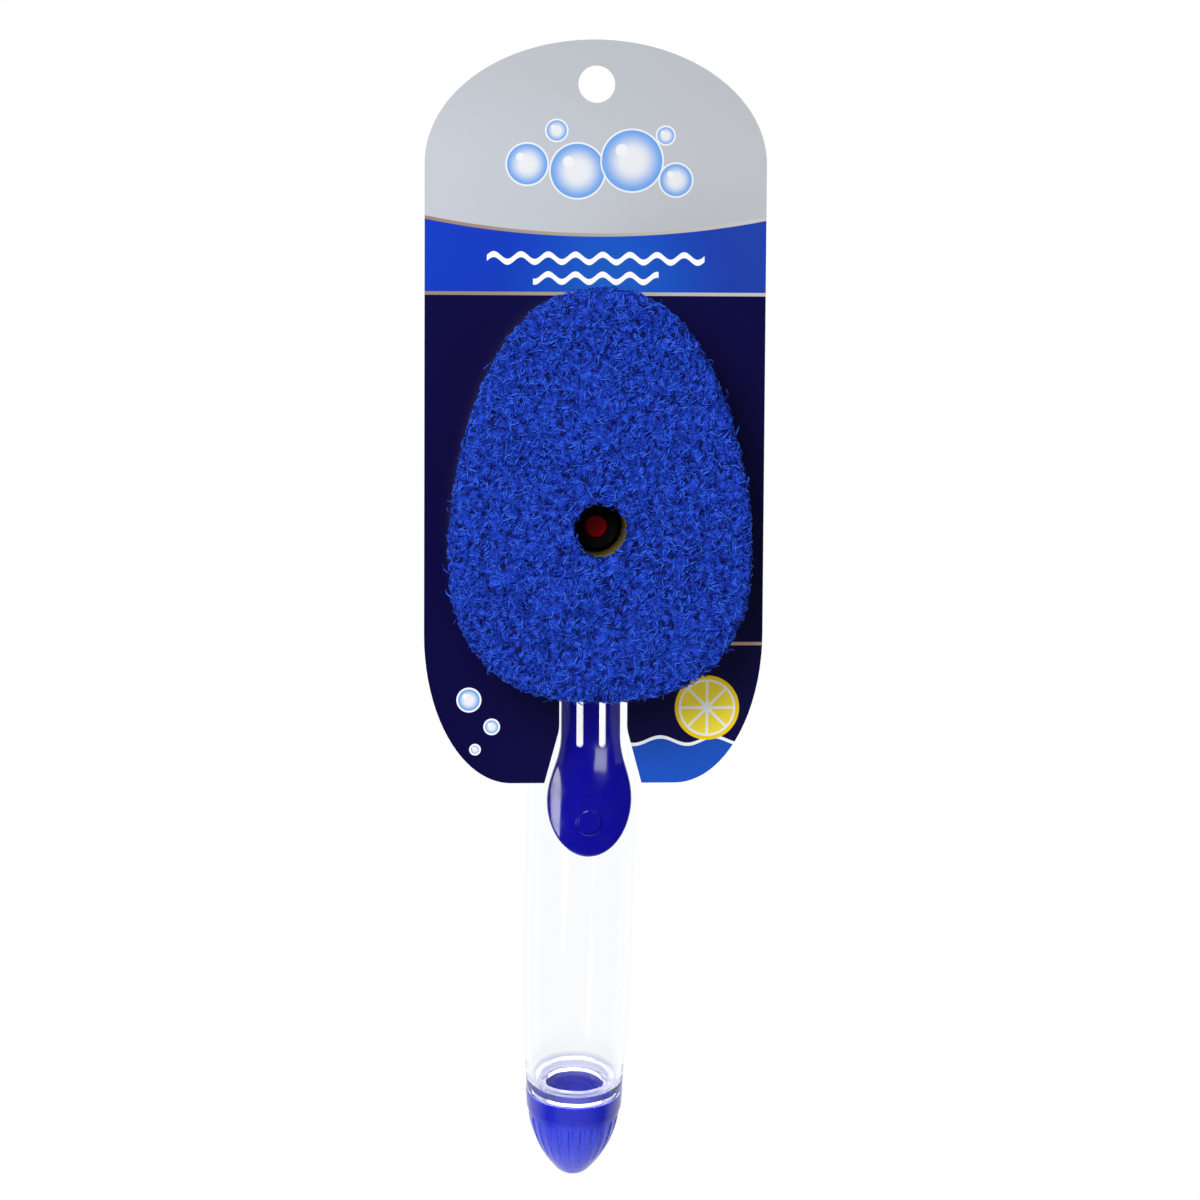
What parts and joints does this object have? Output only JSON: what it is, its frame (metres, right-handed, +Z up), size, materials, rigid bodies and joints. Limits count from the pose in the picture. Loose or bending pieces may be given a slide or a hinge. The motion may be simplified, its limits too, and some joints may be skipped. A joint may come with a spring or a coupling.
{
  "type": "dish wand",
  "caption": "Liquid-dispensing dish wand with an egg-shaped scrubbing refill, a thumb trigger, a clear hollow handle and a screw filler cap, on a hang card with a keyhole notch.",
  "frame": {"origin": "centre of the hang hole, halfway through the hang card", "axes": "+Z up as it hangs, -Y towards the scrubbing face, +X to the right seen from the front"},
  "size_m": [0.0816, 0.0948, 0.289],
  "materials": {
    "card_print": "gloss-coated printed board with silver, blue and navy areas",
    "scrub_fibre": "open blue non-woven fibre",
    "foam": "yellow open-cell foam",
    "backing_plastic": "natural white moulding",
    "blue_plastic": "glossy deep blue moulding",
    "clear_plastic": "clear moulding",
    "black_plastic": "black moulding",
    "red_plastic": "red moulding",
    "seal_rubber": "soft sealing rubber",
    "cap_seal_foam": "pale soft sealing ring",
    "spring_steel": "stainless spring wire and pin"
  },
  "bodies": {
    "wand": {"reservoir_handle": "clear_plastic", "head_base": "blue_plastic", "trigger_pin": "spring_steel", "outlet_spout": "backing_plastic", "spout_seal": "seal_rubber", "nozzle_o_ring": "seal_rubber", "valve_core": "backing_plastic", "valve_plug": "red_plastic"},
    "trigger": {"trigger": "blue_plastic"},
    "nozzle": {"nozzle_sleeve": "black_plastic", "return_spring": "spring_steel"},
    "refill": {"refill_plate": "backing_plastic", "foam_core": "foam", "scrub_pad": "scrub_fibre"},
    "card": {"hang_card": "card_print"},
    "cap_carrier": {"cap_seal": "cap_seal_foam"},
    "cap": {"end_cap": "blue_plastic"}
  },
  "joints": [
    {"name": "trigger_squeeze", "type": "hinge", "parent": "wand", "child": "trigger", "pos_m": [0, 0.008, -0.1255], "axis": [1, 0, 0], "range_deg": [0, 7], "stiffness_Nm_per_rad": 0.77},
    {"name": "nozzle_slide", "type": "slide", "parent": "wand", "child": "nozzle", "axis": [0, -1, 0], "range_m": [0, 0.0029], "deforming": ["return_spring"]},
    {"name": "refill_lift", "type": "slide", "parent": "wand", "child": "refill", "axis": [0, -1, 0], "range_m": [0, 0.045]},
    {"name": "card_lift", "type": "slide", "parent": "wand", "child": "card", "axis": [0, -1, 0], "range_m": [0, 0.0226]},
    {"name": "cap_pull", "type": "slide", "parent": "wand", "child": "cap_carrier", "axis": [0, 0.2588, -0.9659], "range_m": [0, 0.045]},
    {"name": "cap_turn", "type": "hinge", "parent": "cap_carrier", "child": "cap", "pos_m": [0, 0.0578, -0.2542], "axis": [0, 0.2588, -0.9659], "continuous": true}
  ],
  "couplings": [
    {"joint": "nozzle_slide", "follows": "trigger_squeeze", "m_per_rad": 0.0235},
    {"joint": "card_lift", "follows": "refill_lift", "ratio": 0.5}
  ]
}
